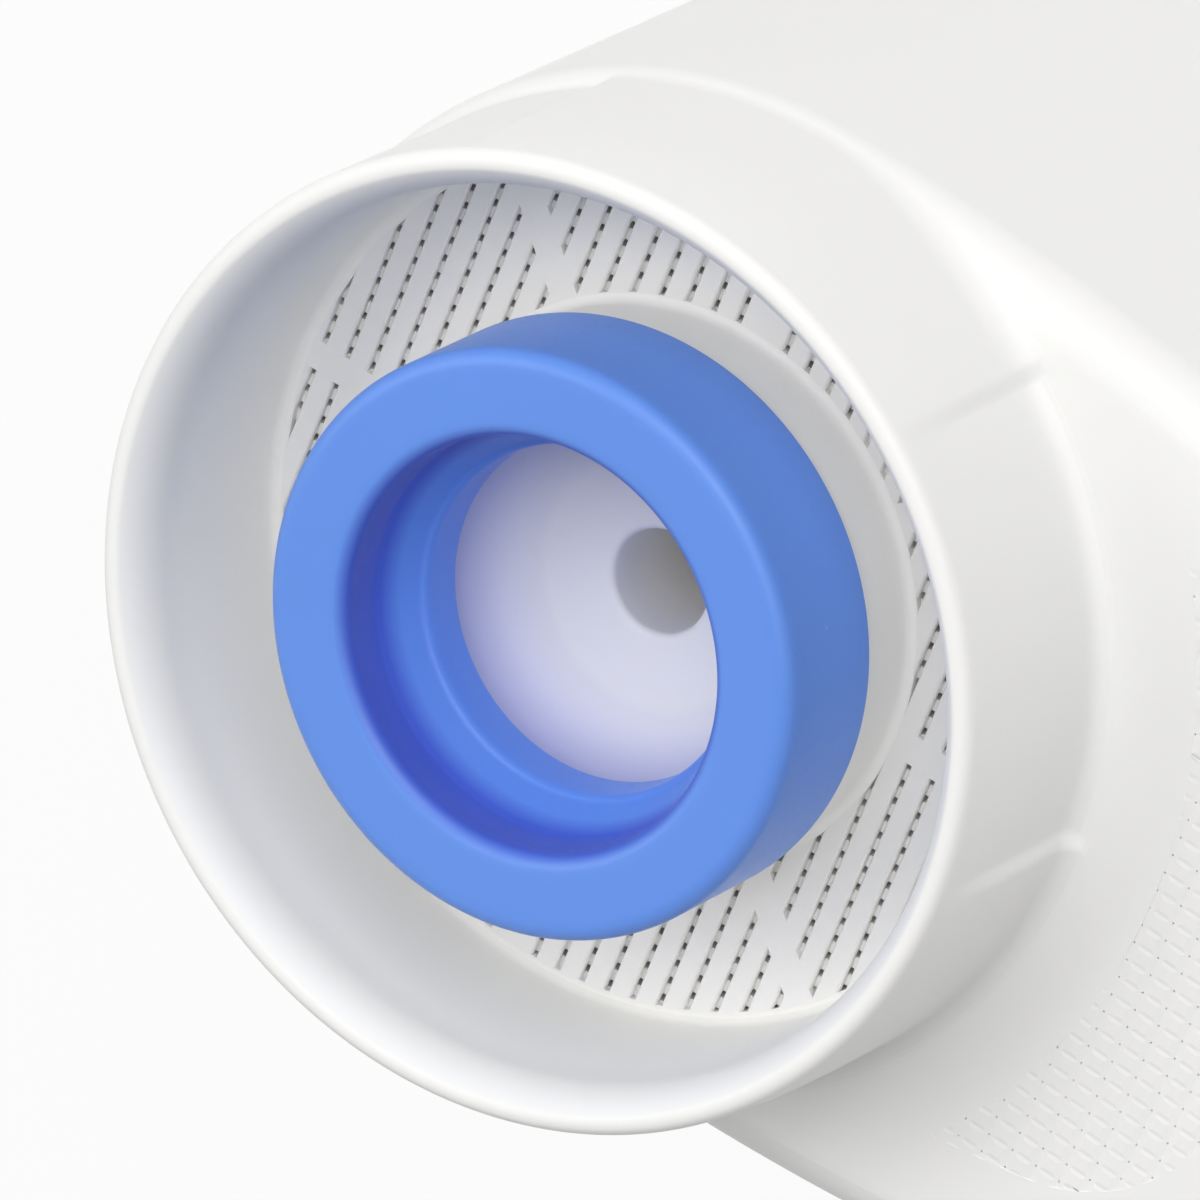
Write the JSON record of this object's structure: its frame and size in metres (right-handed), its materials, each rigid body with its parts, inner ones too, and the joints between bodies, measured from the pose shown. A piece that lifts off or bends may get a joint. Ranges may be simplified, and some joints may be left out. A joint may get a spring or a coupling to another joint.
{
  "type": "water filter cartridge",
  "caption": "Oval water filter cartridge for a coffee machine's tank, with a round collar, a soft sealing ring for the outlet spigot and moulded crossed-groove sieves.",
  "frame": {"origin": "on the collar's axis, in the flat closed end that the cartridge stands on", "axes": "+Z along the collar, out of the sealing ring; +X from the collar's axis towards the oval's far end; Y across the oval, along the sieves' grooves"},
  "size_m": [0.07, 0.0508, 0.0842],
  "materials": {
    "shell_white": "satin, moulded",
    "sieve_white": "satin, moulded",
    "seat_white": "satin, moulded",
    "seal_blue": "smooth, slightly see-through",
    "fleece_grey": "soft felt",
    "resin_amber": "packed grains"
  },
  "bodies": {
    "root": {"housing": "shell_white", "end_cap": "shell_white", "inlet_sieve": "sieve_white", "window_sieve": "sieve_white", "seal_ring": "seal_blue", "outlet_seat": "seat_white", "riser_tube": "seat_white", "upper_fleece": "fleece_grey", "resin_bed": "resin_amber", "lower_fleece": "fleece_grey"}
  },
  "joints": []
}
